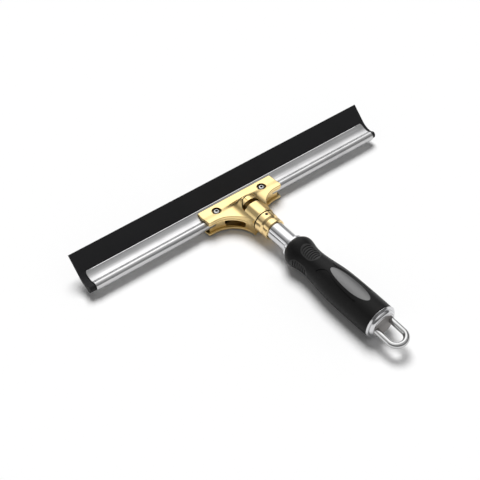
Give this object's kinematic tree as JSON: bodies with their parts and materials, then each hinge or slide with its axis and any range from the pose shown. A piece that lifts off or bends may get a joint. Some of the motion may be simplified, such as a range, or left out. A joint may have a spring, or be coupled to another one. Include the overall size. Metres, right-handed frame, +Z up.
{
  "type": "window squeegee",
  "caption": "Window squeegee with a brass head that clamps a rubber blade in a steel channel, a bright steel tube neck, a moulded soft grip and a wire hanging loop.",
  "frame": {"origin": "on the surface it lies on, under the middle of its whole length and width", "axes": "+X along the blade, +Y from the hanging loop to the blade, +Z up from the surface"},
  "size_m": [0.356, 0.2628, 0.0346],
  "materials": {
    "blade_rubber": "matte",
    "channel_steel": "bright",
    "polished_brass": "polished",
    "spring_steel": "bare",
    "screw_steel": "bright",
    "dark_steel": "blackened",
    "tube_chrome": "polished",
    "core_plastic": "moulded",
    "grip_rubber": "satin",
    "pad_rubber": "satin",
    "inlay_plastic": "satin",
    "plug_plastic": "bright"
  },
  "bodies": {
    "handle": {"head_casting": "polished_brass", "catch_spring": "spring_steel", "neck_ferrule": "polished_brass", "ferrule_grub_screw": "dark_steel", "handle_tube": "tube_chrome", "grip_front_ring": "tube_chrome", "grip_core": "core_plastic", "grip_body": "grip_rubber", "thumb_pad": "pad_rubber", "side_pad_left": "pad_rubber", "side_pad_right": "pad_rubber", "grip_inlay": "inlay_plastic", "end_ring": "tube_chrome", "end_plug": "plug_plastic", "hanging_loop": "tube_chrome"},
    "channel": {"blade_channel": "channel_steel"},
    "rubber": {"rubber_blade": "blade_rubber"},
    "catch": {"release_catch": "polished_brass"},
    "screw_left": {"clamp_screw_left": "screw_steel"},
    "screw_right": {"clamp_screw_right": "screw_steel"}
  },
  "joints": [
    {"name": "channel_slide", "type": "slide", "parent": "handle", "child": "channel", "axis": [1, 0, 0], "range_m": [-0.12, 0.12]},
    {"name": "blade_slide", "type": "slide", "parent": "channel", "child": "rubber", "axis": [1, 0, 0], "range_m": [-0.05, 0.05]},
    {"name": "catch_slide", "type": "slide", "parent": "handle", "child": "catch", "axis": [0, -1, 0], "range_m": [0, 0.0044], "stiffness_N_per_m": 1200, "springref_m": -0.004, "deforming": ["catch_spring"]},
    {"name": "clamp_screw_left_turn", "type": "hinge", "parent": "handle", "child": "screw_left", "pos_m": [-0.0281, 0.10336, 0.0156], "axis": [0, 0, 1], "range_deg": [0, 540]},
    {"name": "clamp_screw_right_turn", "type": "hinge", "parent": "handle", "child": "screw_right", "pos_m": [0.0281, 0.10336, 0.0156], "axis": [0, 0, 1], "range_deg": [0, 540]}
  ]
}
